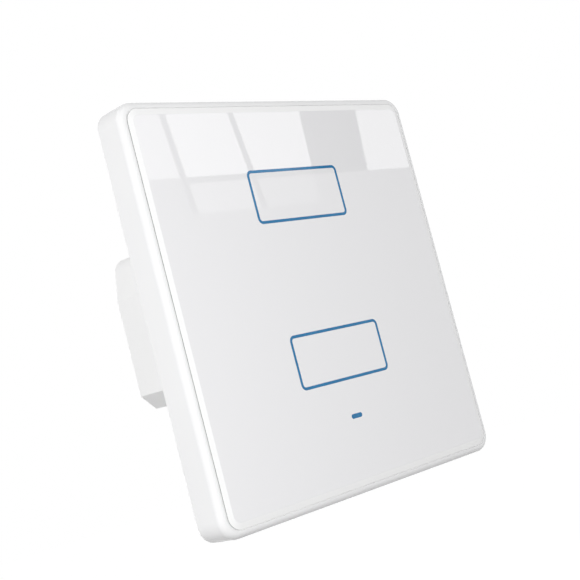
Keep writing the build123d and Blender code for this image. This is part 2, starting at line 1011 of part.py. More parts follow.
# Transformer: a closed ferrite core with three limbs, and the winding round its middle limb
core_rear = -power_board_depth
core_front = transformer_depth - power_board_depth
winding_room = (transformer_width - 3 * transformer_limb) / 2
with BuildPart() as transformer_core:
    slab(
        core_rear,
        core_front,
        transformer_width,
        transformer_height,
        (transformer_x, transformer_z),
    )
    for side in (-1, 1):
        slab(
            core_rear - overrun,
            core_front + overrun,
            winding_room,
            transformer_height - 2 * transformer_limb,
            (transformer_x + side * (transformer_limb + winding_room) / 2, transformer_z),
            mode=Mode.SUBTRACT,
        )
save(transformer_core, "transformer_core")
with BuildPart() as transformer_winding:
    slab(
        core_rear,
        core_front,
        transformer_limb + 2 * winding_room - 2 * transformer_winding_gap,
        transformer_height - 2 * transformer_limb - 2 * transformer_winding_gap,
        (transformer_x, transformer_z),
    )
    slab(
        core_rear - overrun,
        core_front + overrun,
        transformer_limb + 2 * transformer_winding_gap,
        transformer_height,
        (transformer_x, transformer_z),
        mode=Mode.SUBTRACT,
    )
save(transformer_winding, "transformer_winding")

# Mains capacitor: an electrolytic can that lies on the board
with BuildPart() as mains_capacitor:
    post(
        mains_capacitor_z - mains_capacitor_length / 2,
        mains_capacitor_z + mains_capacitor_length / 2,
        mains_capacitor_radius,
        (mains_capacitor_x, power_board_depth - mains_capacitor_radius),
    )
    fillet(mains_capacitor.edges().filter_by(GeomType.CIRCLE), radius=capacitor_edge_radius)
save(mains_capacitor, "mains_capacitor")

# Output capacitor: a smaller can that stands on the board, with a rolled groove near its foot
with BuildPart() as output_capacitor:
    can_front = output_capacitor_height - power_board_depth
    place = (output_capacitor_x, output_capacitor_z)
    disc(-power_board_depth, can_front, output_capacitor_radius, place)
    fillet(output_capacitor.edges().group_by(Axis.Y)[0], radius=capacitor_edge_radius)
    with BuildSketch(Plane.XZ.offset(capacitor_groove_height - power_board_depth)):
        with Locations(place):
            Circle(output_capacitor_radius + overrun)
            Circle(output_capacitor_radius - capacitor_groove, mode=Mode.SUBTRACT)
    extrude(amount=capacitor_groove_height / 2, mode=Mode.SUBTRACT)
save(output_capacitor, "output_capacitor")

# Inductor: a drum with two flanges
with BuildPart() as inductor:
    place = (inductor_x, inductor_z)
    drum_front = inductor_height - power_board_depth
    disc(-power_board_depth, drum_front, inductor_core_radius, place)
    disc(-power_board_depth, inductor_flange - power_board_depth, inductor_radius, place)
    disc(drum_front - inductor_flange, drum_front, inductor_radius, place)
save(inductor, "inductor")

# Rectifier, power chip and relay driver chip
chip_list = [
    ("rectifier", rectifier_width, rectifier_height, rectifier_thickness, rectifier_x, rectifier_z),
    ("power_chip", power_chip_width, power_chip_height, power_chip_thickness, power_chip_x, power_chip_z),
    (
        "relay_driver",
        driver_chip_width,
        driver_chip_height,
        driver_chip_thickness,
        driver_chip_x,
        driver_chip_z,
    ),
]
for name, width, height, thickness, x, z in chip_list:
    with BuildPart() as board_chip:
        chip(-power_board_depth, 1, width - 2 * chip_leg_reach, height, thickness, (x, z))
    save(board_chip, name)

# Varistor: a round disc that stands on edge on the board
with BuildPart() as varistor:
    post(
        varistor_z - varistor_thickness / 2,
        varistor_z + varistor_thickness / 2,
        varistor_radius,
        (varistor_x, power_board_depth - varistor_radius),
    )
    fillet(varistor.edges().filter_by(GeomType.CIRCLE), radius=capacitor_edge_radius)
save(varistor, "varistor")

# Fuse: a small barrel with two metal caps, on the rear of the board
with BuildPart() as fuse:
    fuse_center = (power_board_rear + fuse_radius, strip_place)
    fuse_start = fuse_x - fuse_length / 2
    fuse_end = fuse_x + fuse_length / 2
    bar(fuse_start, fuse_end, fuse_radius - fuse_cap_wall, fuse_center)
    bar(fuse_start, fuse_start + fuse_cap_length, fuse_radius, fuse_center)
    bar(fuse_end - fuse_cap_length, fuse_end, fuse_radius, fuse_center)
save(fuse, "fuse")

# Film capacitor: a potted box on the rear of the board
with BuildPart() as film_capacitor:
    slab(
        -power_board_rear - film_capacitor_depth,
        -power_board_rear,
        film_capacitor_width,
        film_capacitor_thickness,
        (film_capacitor_x, strip_place),
    )
    fillet(film_capacitor.edges().filter_by(Axis.Y), radius=film_capacitor_radius)
save(film_capacitor, "film_capacitor")

# Relay places and the heights inside a relay, measured back from the power board's rear face
case_rear = power_board_rear + relay_height
inner_rear = case_rear - relay_wall
yoke_rear = inner_rear - relay_inner_gap
yoke_front = yoke_rear - yoke_thickness
base_front = power_board_rear + relay_base_lift
base_rear = base_front + relay_base_thickness
inner_length = relay_length - 2 * relay_wall
inner_width = relay_width - 2 * relay_wall
coil_depth = (base_rear + yoke_front) / 2
coil_length = (
    inner_length
    - relay_inner_gap
    - yoke_thickness
    - pole_thickness
    - armature_thickness
    - armature_room
)


# One relay: the coil lies along X, the yoke's leg stands at its outer end and runs over it, and the
# armature hangs from the yoke's free edge in front of the pole
def make_relay(number, relay_x):
    inner_start = relay_x - inner_length / 2 + relay_inner_gap
    leg_end = inner_start + yoke_thickness
    coil_end = leg_end + coil_length
    pole_face = coil_end + pole_thickness
    pivot_depth = yoke_rear
    swing_arm = pivot_depth - coil_depth + pole_radius
    pole_gap = swing_arm * sin(radians(armature_swing)) + armature_clearance
    plate_start = pole_face + pole_gap
    edge_gap = yoke_thickness * sin(radians(armature_swing)) + armature_clearance
    contact_depth = power_board_rear + contact_height
    contact_arm = pivot_depth - contact_depth + contact_radius
    contact_gap = contact_arm * sin(radians(armature_swing)) + armature_clearance
    moving_contact = plate_start - contact_thickness
    fixed_contact = moving_contact - contact_gap
    blade_end = fixed_contact - contact_thickness
    blade_start = blade_end - blade_thickness
    blade_rear = contact_depth + contact_radius

    with BuildPart() as relay_base:
        slab(
            -base_rear,
            -base_front,
            inner_length - 2 * relay_inner_gap,
            inner_width - 2 * relay_inner_gap,
            (relay_x, relay_z),
        )
        block(
            (
                blade_start - blade_clearance,
                base_front - overrun,
                relay_z - blade_width / 2 - blade_clearance,
            ),
            (
                blade_end + blade_clearance,
                base_rear + overrun,
                relay_z + blade_width / 2 + blade_clearance,
            ),
            Mode.SUBTRACT,
        )
    save(relay_base, f"relay_{number}_base")

    with BuildPart() as relay_coil:
        coil_center = (coil_depth, relay_z)
        bar(leg_end, coil_end, coil_barrel_radius + core_clearance, coil_center)
        bar(leg_end, leg_end + coil_flange_thickness, coil_radius + core_clearance, coil_center)
        bar(coil_end - coil_flange_thickness, coil_end, coil_radius + core_clearance, coil_center)
        bar(
            leg_end + coil_flange_thickness,
            coil_end - coil_flange_thickness,
            coil_radius - coil_flange_thickness / 2,
            coil_center,
        )
        bar(
            leg_end - overrun,
            coil_end + overrun,
            core_radius + core_clearance,
            coil_center,
            Mode.SUBTRACT,
        )
    save(relay_coil, f"relay_{number}_coil")

    with BuildPart() as relay_yoke:
        block(
            (inner_start, base_rear, relay_z - yoke_width / 2),
            (leg_end, yoke_rear, relay_z + yoke_width / 2),
        )
        block(
            (inner_start, yoke_front, relay_z - yoke_width / 2),
            (plate_start - edge_gap, yoke_rear, relay_z + yoke_width / 2),
        )
        bar(leg_end - yoke_thickness / 2, coil_end, core_radius, coil_center)
        bar(coil_end, pole_face, pole_radius, coil_center)
    save(relay_yoke, f"relay_{number}_yoke")

    with BuildPart() as relay_armature:
        block(
            (plate_start, power_board_rear + armature_foot_height, relay_z - armature_width / 2),
            (plate_start + armature_thickness, pivot_depth, relay_z + armature_width / 2),
        )
        bar(moving_contact, plate_start, contact_radius, (contact_depth, relay_z))
    save(relay_armature, f"relay_{number}_armature")

    with BuildPart() as relay_contact:
        block(
            (blade_start, power_board_rear, relay_z - blade_width / 2),
            (blade_end, blade_rear, relay_z + blade_width / 2),
        )
        bar(blade_end, fixed_contact, contact_radius, (contact_depth, relay_z))
    save(relay_contact, f"relay_{number}_contact")

    with BuildPart() as relay_case:
        slab(-case_rear, -power_board_rear, relay_length, relay_width, (relay_x, relay_z))
        fillet(relay_case.edges().group_by(Axis.Y)[-1], radius=relay_wall / 2)
        slab(
            -inner_rear,
            -power_board_rear + overrun,
            inner_length,
            inner_width,
            (relay_x, relay_z),
            mode=Mode.SUBTRACT,
        )
    save(relay_case, f"relay_{number}_case")


for number, side in ((1, -1), (2, 1)):
    make_relay(number, side * (relay_length + relay_gap) / 2)

# Terminal block: one moulding with a chamber, a wire hole and a screw well for each terminal
with BuildPart() as terminal_block:
    block(
        (-block_width / 2, power_board_rear, block_bottom),
        (block_width / 2, block_rear, block_top),
    )
    block(
        (-pad_width / 2, block_rear, rear_pad_bottom),
        (pad_width / 2, pad_rear, rear_pad_top),
    )
    block(
        (-pad_width / 2, bottom_pad_front, pad_bottom),
        (pad_width / 2, bottom_pad_rear, block_bottom),
    )
    for x in terminal_places:
        block(
            (x - chamber_width / 2, chamber_front, chamber_bottom),
            (x + chamber_width / 2, chamber_rear, chamber_top),
            Mode.SUBTRACT,
        )
        disc(
            -pad_rear - overrun,
            -chamber_rear + overrun,
            wire_hole_radius,
            (x, wire_hole_place),
            Mode.SUBTRACT,
        )
        post(
            pad_bottom - overrun,
            chamber_bottom + overrun,
            well_radius,
            (x, chamber_middle),
            Mode.SUBTRACT,
        )
        block(
            (
                x - tongue_plate_width / 2 - tongue_plate_clearance,
                power_board_rear - overrun,
                terminal_tongue_bottom - tongue_plate_clearance,
            ),
            (
                x + tongue_plate_width / 2 + tongue_plate_clearance,
                chamber_front + overrun,
                tongue_top + tongue_plate_clearance,
            ),
            Mode.SUBTRACT,
        )
    mouths = terminal_block.edges().filter_by(GeomType.CIRCLE).group_by(Axis.Y)[-1]
    chamfer(mouths, length=wire_funnel)
save(terminal_block, "terminal_block")

# Terminal tongues: brass bars that carry the current from each clamp to the board
with BuildPart() as terminal_tongues:
    for x in terminal_places:
        block(
            (x - tongue_plate_width / 2, power_board_rear, terminal_tongue_bottom),
            (x + tongue_plate_width / 2, chamber_rear, tongue_top),
        )
save(terminal_tongues, "terminal_tongues")

# Terminal screws and rising clamps: turning a screw draws its clamp down over the wire
for index, x in enumerate(terminal_places):
    with BuildPart() as terminal_screw:
        screw_center = (x, chamber_middle)
        post(screw_head_bottom, screw_head_top, clamp_screw_head_radius, screw_center)
        post(screw_head_top, terminal_tongue_bottom - clamp_screw_tip_gap, clamp_screw_radius, screw_center)
        tower(
            screw_head_bottom - overrun,
            screw_head_bottom + clamp_slot_depth,
            2 * clamp_screw_head_radius + overrun,
            clamp_slot_width,
            screw_center,
            Mode.SUBTRACT,
        )
    save(terminal_screw, f"terminal_{index + 1}_screw")
    with BuildPart() as terminal_clamp:
        block(
            (x - clamp_width / 2, chamber_middle - clamp_length / 2, clamp_bottom),
            (x + clamp_width / 2, chamber_middle + clamp_length / 2, clamp_top),
        )
        block(
            (
                x - clamp_width / 2 + clamp_side_wall,
                chamber_middle - clamp_length,
                clamp_bottom + clamp_threaded_wall,
            ),
            (
                x + clamp_width / 2 - clamp_side_wall,
                chamber_middle + clamp_length,
                clamp_top - clamp_roof,
            ),
            Mode.SUBTRACT,
        )
        post(
            clamp_bottom - overrun,
            clamp_bottom + clamp_threaded_wall + overrun,
            clamp_screw_radius + clamp_screw_running_gap,
            screw_center,
            Mode.SUBTRACT,
        )
    save(terminal_clamp, f"terminal_{index + 1}_clamp")
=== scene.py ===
from math import radians
import bpy
import numpy as np
from mathutils import Euler, Matrix, Vector


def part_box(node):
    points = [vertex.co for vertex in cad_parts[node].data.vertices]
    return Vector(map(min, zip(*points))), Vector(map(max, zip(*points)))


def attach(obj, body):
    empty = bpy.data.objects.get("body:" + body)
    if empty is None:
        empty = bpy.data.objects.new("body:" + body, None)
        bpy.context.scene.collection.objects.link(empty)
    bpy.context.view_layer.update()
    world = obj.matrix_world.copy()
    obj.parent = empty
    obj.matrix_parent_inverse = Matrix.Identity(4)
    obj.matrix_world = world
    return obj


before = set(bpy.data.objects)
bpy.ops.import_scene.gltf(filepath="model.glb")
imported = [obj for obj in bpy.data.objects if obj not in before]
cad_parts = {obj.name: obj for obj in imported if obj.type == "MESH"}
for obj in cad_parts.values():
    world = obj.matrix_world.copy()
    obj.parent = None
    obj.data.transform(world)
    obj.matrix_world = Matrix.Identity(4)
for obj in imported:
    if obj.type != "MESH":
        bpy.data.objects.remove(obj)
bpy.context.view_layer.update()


# Glass panel: a square of clear glass painted white on its back, with a ground and polished edge. Its
# face is very smooth. A faint waviness and a slightly uneven polish show only in the reflections.
glass_front, ground_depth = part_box("glass_panel")[0].y, 0.0003
# A colour zone that ends at a flat surface reaches this far past it, so rounding can't break its edge.
margin = 0.00001
# Most of a noise texture lies between these two values.
noise_low, noise_high = 0.3, 0.7


def shader_of(name):
    """A new material of that name: the material, its node tree and its surface shader."""
    material = bpy.data.materials.new(name)
    material.use_nodes = True
    return material, material.node_tree, material.node_tree.nodes["Principled BSDF"]


def coordinates(tree):
    """The x, y and z of the point being shaded, in metres."""
    axes = tree.nodes.new("ShaderNodeSeparateXYZ")
    tree.links.new(tree.nodes.new("ShaderNodeTexCoord").outputs["Object"], axes.inputs["Vector"])
    return axes.outputs["X"], axes.outputs["Y"], axes.outputs["Z"]


def arithmetic(tree, operation, *terms):
    """One step of arithmetic on sockets and plain numbers."""
    node = tree.nodes.new("ShaderNodeMath")
    node.operation = operation
    for socket, term in zip(node.inputs, terms):
        if isinstance(term, (int, float)):
            socket.default_value = term
        else:
            tree.links.new(term, socket)
    return node.outputs["Value"]


def cloud(tree, cell, detail=3.0, stretch=(1, 1, 1)):
    """Smooth noise between 0 and 1. Its lumps are about cell metres long, times stretch along each axis."""
    place = tree.nodes.new("ShaderNodeTexCoord").outputs["Object"]
    mapping = tree.nodes.new("ShaderNodeMapping")
    mapping.inputs["Scale"].default_value = [1 / (cell * share) for share in stretch]
    tree.links.new(place, mapping.inputs["Vector"])
    noise = tree.nodes.new("ShaderNodeTexNoise")
    noise.inputs["Scale"].default_value = 1.0
    noise.inputs["Detail"].default_value = detail
    tree.links.new(mapping.outputs["Vector"], noise.inputs["Vector"])
    return noise.outputs["Fac"]


def spread(tree, share, low, high, start=noise_low, end=noise_high):
    """A number that goes from low to high while share goes from start to end."""
    node = tree.nodes.new("ShaderNodeMapRange")
    for socket, value in zip(("From Min", "From Max", "To Min", "To Max"), (start, end, low, high)):
        node.inputs[socket].default_value = value
    tree.links.new(share, node.inputs["Value"])
    return node.outputs["Result"]


def shades(tree, share, *stops):
    """The colour that share picks from a ramp; each stop is a share and a colour."""
    ramp = tree.nodes.new("ShaderNodeValToRGB")
    while len(ramp.color_ramp.elements) < len(stops):
        ramp.color_ramp.elements.new(1.0)
    for element, (place, colour) in zip(ramp.color_ramp.elements, stops):
        element.position = place
        element.color = (*colour, 1.0)
    tree.links.new(share, ramp.inputs["Fac"])
    return ramp.outputs["Color"]


def raised(tree, shader, height, lift):
    """Tilts the shader's normal as if the surface rose by lift metres where height is 1."""
    bump = tree.nodes.new("ShaderNodeBump")
    bump.inputs["Distance"].default_value = lift
    tree.links.new(height, bump.inputs["Height"])
    tree.links.new(bump.outputs["Normal"], shader.inputs["Normal"])
    return bump


def dress(material, *names):
    """Gives these CAD pieces that material."""
    for name in names:
        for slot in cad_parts[name].material_slots:
            slot.material = material


def painted_glass(face, edge_highlight, gap_shade):
    """Gloss white in three zones by depth: the front in the colour face, the ground edge in edge, a painted
    highlight paler than the face for the light the clear edge gathers, and the cut side walls in wall,
    painted shade for the gap."""
    wave, wave_lift, polish = 0.03, 1.5e-6, (0.006, 0.014)
    material, tree, shader = shader_of("painted_glass")
    depth = coordinates(tree)[1]
    on_edge = arithmetic(tree, "GREATER_THAN", depth, glass_front + margin)
    on_gap_shade = arithmetic(tree, "GREATER_THAN", depth, glass_front + ground_depth + margin)
    zone = arithmetic(tree, "MULTIPLY", arithmetic(tree, "ADD", on_edge, on_gap_shade), 0.5)
    # Painted highlight on the ground edge and painted shade on the cut side walls, by depth.
    tree.links.new(shades(tree, zone, (0.0, face), (0.5, edge_highlight), (1.0, gap_shade)), shader.inputs["Base Color"])
    tree.links.new(spread(tree, cloud(tree, wave), *polish), shader.inputs["Roughness"])
    raised(tree, shader, cloud(tree, wave, detail=1.0), wave_lift)
    return material


# The edge colour is a painted highlight; the wall colour is painted shade in the gap round the glass.
dress(
    painted_glass(face=(0.862, 0.859, 0.872), edge_highlight=(0.93, 0.93, 0.93), gap_shade=(0.2, 0.215, 0.21)),
    "glass_panel",
)


# Sealing bead: white silicone pressed into the narrow gap between the glass and its frame, a little
# below the frame's lip. Its top is slightly hollow, as a finger leaves it.
glass_side, glass_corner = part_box("glass_panel")[1].x, 0.0028
gap, clearance = 0.0002, 0.00001
bead_sink, bead_depth, bead_hollow = 0.00043, 0.00057, 0.00004


def closed_grid(name, points):
    """A piece made of a grid of points, rows by columns, that closes on itself both ways. Each face has a
    point, the next one down its column, the one beside that, and the next one along its row."""
    rows, columns = points.shape[:2]
    row, column = np.meshgrid(np.arange(rows), np.arange(columns), indexing="ij")
    after, beside = (row + 1) % rows, (column + 1) % columns
    faces = np.stack([
        row * columns + column, after * columns + column, after * columns + beside, row * columns + beside,
    ], -1)
    mesh = bpy.data.meshes.new(name)
    mesh.from_pydata(points.reshape(-1, 3).tolist(), [], faces.reshape(-1, 4).tolist())
    piece = bpy.data.objects.new(name, mesh)
    bpy.context.scene.collection.objects.link(piece)
    return piece


def ring_sweep(name, profile, corner, steps):
    """A closed ring round the y axis. profile is a closed run of (distance from the axis to the side, y)
    points, carried round a square with round corners, whose arcs have steps points each and their
    centres at the distance corner from both axes. A point is its arc's centre plus (cos, sin) of the
    turn times the distance left over."""
    turns = np.repeat(np.arange(4), steps) * np.pi / 2 + np.tile(np.linspace(0, np.pi / 2, steps), 4)
    centre = np.repeat(np.array([(1, 1), (-1, 1), (-1, -1), (1, -1)], float), steps, axis=0) * corner
    outward = np.stack([np.cos(turns), np.sin(turns)], 1)
    out, level = np.array(profile).T
    flat = centre[:, None, :] + outward[:, None, :] * (out - corner)[None, :, None]
    level = np.broadcast_to(level, flat.shape[:2])
    return closed_grid(name, np.stack([flat[..., 0], level, flat[..., 1]], -1))


def mottled(name, pale, deep, cell, rough, grain, lift, stretch=(1, 1, 1), fixed=()):
    """A finish that wanders from pale to deep, and from the first roughness to the second, in lumps cell
    metres across. A finer grain, grain metres across, raises it by lift metres. fixed pairs the names of
    other sockets with their values."""
    material, tree, shader = shader_of(name)
    lumps = cloud(tree, cell, stretch=stretch)
    tree.links.new(shades(tree, lumps, (noise_low, pale), (noise_high, deep)), shader.inputs["Base Color"])
    tree.links.new(spread(tree, lumps, *rough), shader.inputs["Roughness"])
    raised(tree, shader, cloud(tree, grain, detail=4.0, stretch=stretch), lift)
    for socket, value in fixed:
        shader.inputs[socket].default_value = value
    return material


bead_inside, bead_outside = glass_side + clearance, glass_side + gap - clearance
bead_top = glass_front + bead_sink
bead_foot = bead_top + bead_depth
bead = ring_sweep(
    "sealing_bead",
    [
        (bead_inside, bead_foot), (bead_outside, bead_foot), (bead_outside, bead_top),
        ((bead_inside + bead_outside) / 2, bead_top + bead_hollow), (bead_inside, bead_top),
    ],
    corner=glass_side - glass_corner, steps=12,
)
bead.data.materials.append(
    mottled("white_silicone", pale=(0.88, 0.88, 0.88), deep=(0.84, 0.84, 0.84), cell=0.003,
            rough=(0.3, 0.4), grain=0.0006, lift=4e-6)
)
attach(bead, "front_panel")

# Outlines and indicator: translucent blue enamel printed into the glass, level with its face. The colour
# is a little uneven, as thin print over white is.
dress(
    mottled("blue_print", pale=(0.002, 0.18, 0.4), deep=(0.001, 0.145, 0.34), cell=0.002,
            rough=(0.06, 0.1), grain=0.001, lift=1e-6),
    "upper_outline", "lower_outline", "indicator_bar",
)


# Bezel frame: one moulding of white gloss plastic that holds the glass, with four snap tongues behind.
# Its surface has the faint orange peel of a polished mould. Ejector pins left round marks on its rear
# side.
def off_grid(tree, value, pitch):
    """How far value lies from the nearest whole multiple of pitch."""
    return arithmetic(tree, "PINGPONG", value, pitch / 2)


def length_of(tree, first, second):
    """The length of a line with these two sides: the square root of the sum of their squares."""
    squares = [arithmetic(tree, "MULTIPLY", side, side) for side in (first, second)]
    return arithmetic(tree, "SQRT", arithmetic(tree, "ADD", *squares))


def relief(material, height, lift):
    """Raises a finished material by lift metres where height is 1, on top of its own grain."""
    tree = material.node_tree
    shader = tree.nodes["Principled BSDF"]
    grain = shader.inputs["Normal"].links[0].from_socket
    tree.links.new(grain, raised(tree, shader, height, lift).inputs["Normal"])
    return material


def pressed_marks(material, radius, behind, sink, pitch=0.024, flat_share=0.94):
    """Sinks round marks by sink metres into a material, on surfaces whose y is over behind. One lies at
    each point of a square grid in x and z: a mark is where the distance to the nearest grid point is
    under radius. Its bottom is flat out to flat_share of that."""
    tree = material.node_tree
    x, y, z = coordinates(tree)
    away = length_of(tree, off_grid(tree, x, pitch), off_grid(tree, z, pitch))
    inside = spread(tree, away, 1.0, 0.0, start=radius * flat_share, end=radius)
    mark = arithmetic(tree, "MULTIPLY", inside, arithmetic(tree, "GREATER_THAN", y, behind))
    return relief(material, mark, -sink)


dress(
    pressed_marks(
        mottled("gloss_white", pale=(0.87, 0.87, 0.875), deep=(0.855, 0.855, 0.86), cell=0.02,
                rough=(0.16, 0.22), grain=0.0022, lift=2.5e-6),
        radius=0.0022, behind=-0.0045, sink=1.2e-4,
    ),
    "bezel_frame",
)

# Foam tape: a closed ring of white foam under the glass's edge, with open cells at its cut side. It
# holds the glass to the frame.
dress(
    mottled("white_foam", pale=(0.8, 0.8, 0.77), deep=(0.7, 0.7, 0.67), cell=0.0012,
            rough=(0.85, 0.95), grain=0.0003, lift=6e-5),
    "panel_adhesive",
)

# Light guides and pipe: clear acrylic blocks that carry the diodes' light to the print. Their sides are
# frosted a little by the mould.
dress(
    mottled("clear_acrylic", pale=(0.9, 0.94, 0.96), deep=(0.84, 0.9, 0.94), cell=0.004,
            rough=(0.12, 0.3), grain=0.0004, lift=5e-6,
            fixed=(("Transmission Weight", 0.75), ("IOR", 1.49))),
    "upper_light_guide", "lower_light_guide", "indicator_pipe",
)

# Touch pads: blocks of black conductive foam that press from the board to the back of the glass. Their
# open cells make them dull and rough.
dress(
    mottled("conductive_foam", pale=(0.07, 0.07, 0.075), deep=(0.035, 0.035, 0.04), cell=0.0015,
            rough=(0.85, 0.95), grain=0.00025, lift=5e-5),
    "upper_touch_pad", "lower_touch_pad",
)


# Light-emitting diodes: small white ceramic bodies soldered to the touch board, each with a pale yellow
# resin window towards its light guide.
def two_finishes(name, first, second, test, rough, cell, lift, metal=0.0):
    """The colour first, or second with metal of metallic where test(tree, x, y, z) gives 1. On both, lumps
    cell metres across darken them a little, set the roughness and rise by lift metres."""
    palest, darkest = (1.0, 1.0, 1.0), (0.84, 0.84, 0.84)
    material, tree, shader = shader_of(name)
    other = test(tree, *coordinates(tree))
    lumps = cloud(tree, cell, detail=4.0)
    shade = tree.nodes.new("ShaderNodeMixRGB")
    shade.blend_type = "MULTIPLY"
    shade.inputs["Fac"].default_value = 1.0
    tree.links.new(shades(tree, other, (0.0, first), (1.0, second)), shade.inputs["Color1"])
    tree.links.new(shades(tree, lumps, (noise_low, palest), (noise_high, darkest)), shade.inputs["Color2"])
    tree.links.new(shade.outputs["Color"], shader.inputs["Base Color"])
    tree.links.new(arithmetic(tree, "MULTIPLY", other, metal), shader.inputs["Metallic"])
    tree.links.new(spread(tree, lumps, *rough), shader.inputs["Roughness"])
    raised(tree, shader, lumps, lift)
    return material


window_depth = 0.0002
window_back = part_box("upper_lamps")[0].y + window_depth
dress(
    two_finishes(
        "lamp_body", first=(0.82, 0.81, 0.78), second=(0.85, 0.72, 0.2),
        test=lambda tree, x, y, z: arithmetic(tree, "LESS_THAN", y, window_back),
        rough=(0.2, 0.35), cell=0.0003, lift=6e-6,
    ),
    "upper_lamps", "lower_lamps", "indicator_lamp",
)


# Boards: glass fibre laminate under green solder mask. Copper tracks run in parallel lanes under the
# mask, a paler green and a little raised, and small tinned pads dot the free areas.
def board_finish():
    """Solder mask over copper. A cell pattern cuts the board into areas. In each, the tracks run either
    along x or along z: they are where the fraction of the place across them over the lane's width is
    under track_share. Pads are the dots round the points of a second cell pattern."""
    lane, track_share, area, track_height = 0.0011, 0.42, 0.0075, 2.5e-5
    turned_share, free_share = 0.5, 0.3
    pad_radius, pad_spacing = 0.0004, 0.0028
    mask_green, track_green, tin = (0.012, 0.13, 0.055), (0.02, 0.21, 0.085), (0.62, 0.6, 0.55)
    film, gloss = 0.004, (0.22, 0.34)
    material, tree, shader = shader_of("solder_mask")
    place = tree.nodes.new("ShaderNodeTexCoord").outputs["Object"]
    areas, dots = (tree.nodes.new("ShaderNodeTexVoronoi") for _ in range(2))
    for pattern, size in ((areas, area), (dots, pad_spacing)):
        pattern.inputs["Scale"].default_value = 1 / size
        tree.links.new(place, pattern.inputs["Vector"])
    choice = tree.nodes.new("ShaderNodeSeparateColor")
    tree.links.new(areas.outputs["Color"], choice.inputs["Color"])
    x, _, z = coordinates(tree)
    turned = arithmetic(tree, "GREATER_THAN", choice.outputs["Red"], turned_share)
    across = arithmetic(
        tree, "ADD", arithmetic(tree, "MULTIPLY", x, turned),
        arithmetic(tree, "MULTIPLY", z, arithmetic(tree, "SUBTRACT", 1.0, turned)),
    )
    in_lane = arithmetic(tree, "FRACT", arithmetic(tree, "DIVIDE", across, lane))
    track = arithmetic(
        tree, "MULTIPLY", arithmetic(tree, "LESS_THAN", in_lane, track_share),
        arithmetic(tree, "GREATER_THAN", choice.outputs["Green"], free_share),
    )
    pad = arithmetic(tree, "LESS_THAN", dots.outputs["Distance"], pad_radius / pad_spacing)
    mix = tree.nodes.new("ShaderNodeMixRGB")
    mix.inputs["Color2"].default_value = (*tin, 1)
    tree.links.new(pad, mix.inputs["Fac"])
    tree.links.new(shades(tree, track, (0.0, mask_green), (1.0, track_green)), mix.inputs["Color1"])
    tree.links.new(mix.outputs["Color"], shader.inputs["Base Color"])
    tree.links.new(pad, shader.inputs["Metallic"])
    tree.links.new(spread(tree, cloud(tree, film), *gloss), shader.inputs["Roughness"])
    raised(tree, shader, arithmetic(tree, "MAXIMUM", track, pad), track_height)
    return material


dress(board_finish(), "touch_board", "power_board")


# Screws, relay iron and the moving clamps: zinc-plated steel, duller in some spots than in others. The
# terminal screws and the housing screws show the ridges of their threads beyond their heads.
terminals, relays = (1, 2, 3, 4), (1, 2)


def zinc_plate(name):
    """Grey metal in small lumps, some duller than others."""
    return mottled(name, pale=(0.66, 0.67, 0.68), deep=(0.5, 0.51, 0.53), cell=0.0012,
                   rough=(0.24, 0.4), grain=0.0004, lift=8e-6, fixed=(("Metallic", 1.0),))


def from_centre(tree, value, centre):
    """How far value lies from centre, without its sign."""
    return arithmetic(tree, "ABSOLUTE", arithmetic(tree, "SUBTRACT", value, centre))


def threaded(material, axis, pitch, start, end, depth):
    """Adds ridges to a material, depth metres high and one pitch apart along an axis, 0 to 2 for x to z,
    from start to end. Their height is the distance to the nearest whole pitch, over half a pitch."""
    tree = material.node_tree
    along = coordinates(tree)[axis]
    ridge = arithmetic(tree, "DIVIDE", off_grid(tree, along, pitch), pitch / 2)
    within = arithmetic(tree, "LESS_THAN", from_centre(tree, along, (start + end) / 2), (end - start) / 2)
    return relief(material, arithmetic(tree, "MULTIPLY", ridge, within), depth)


dress(
    zinc_plate("zinc_plate"),
    "touch_board_screws", "power_board_screws",
    *[f"terminal_{number}_clamp" for number in terminals],
    *[f"relay_{number}_{piece}" for number in relays for piece in ("yoke", "armature")],
)
dress(
    threaded(zinc_plate("terminal_thread"), axis=2, pitch=0.0005, start=-0.0112,
             end=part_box("terminal_1_screw")[1].z, depth=1e-4),
    *[f"terminal_{number}_screw" for number in terminals],
)
dress(
    threaded(zinc_plate("housing_thread"), axis=1, pitch=0.0008, start=0.0001,
             end=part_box("housing_screws")[1].y, depth=1.5e-4),
    "housing_screws",
)

# Chips: black moulding compound, matt with a fine grain from the mould. Their tinned legs stand out of
# two sides and are soldered to the boards.
leg_reach, tinned = 0.0009, (0.68, 0.68, 0.66)


def beyond(tree, value, centre, reach):
    """1 where value lies more than reach from centre, otherwise 0."""
    return arithmetic(tree, "GREATER_THAN", from_centre(tree, value, centre), reach)


def middle(node, axis):
    """The middle and the half length of a CAD piece's box along an axis, 0 to 2 for x to z."""
    low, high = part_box(node)
    return (low[axis] + high[axis]) / 2, (high[axis] - low[axis]) / 2


for chip in ("touch_chip", "power_chip", "relay_driver", "rectifier"):
    chip_centre, chip_half_width = middle(chip, 0)
    dress(
        two_finishes(
            chip + "_body", first=(0.03, 0.03, 0.032), second=tinned,
            test=lambda tree, x, y, z: beyond(tree, x, chip_centre, chip_half_width - leg_reach + margin),
            rough=(0.4, 0.6), cell=0.00015, lift=6e-6, metal=1.0,
        ),
        chip,
    )

# Small parts of the touch board: two rows of fired tan ceramic blocks, tinned at both ends, where they
# are soldered down.
block_half_length, tin_length = 0.0008, 0.00035
rows_centre, rows_half_height = middle("chip_passives", 2)
dress(
    two_finishes(
        "fired_ceramic", first=(0.46, 0.32, 0.19), second=tinned,
        test=lambda tree, x, y, z: beyond(
            tree, from_centre(tree, z, rows_centre), rows_half_height - block_half_length,
            block_half_length - tin_length,
        ),
        rough=(0.35, 0.5), cell=0.0002, lift=6e-6, metal=1.0,
    ),
    "chip_passives",
)

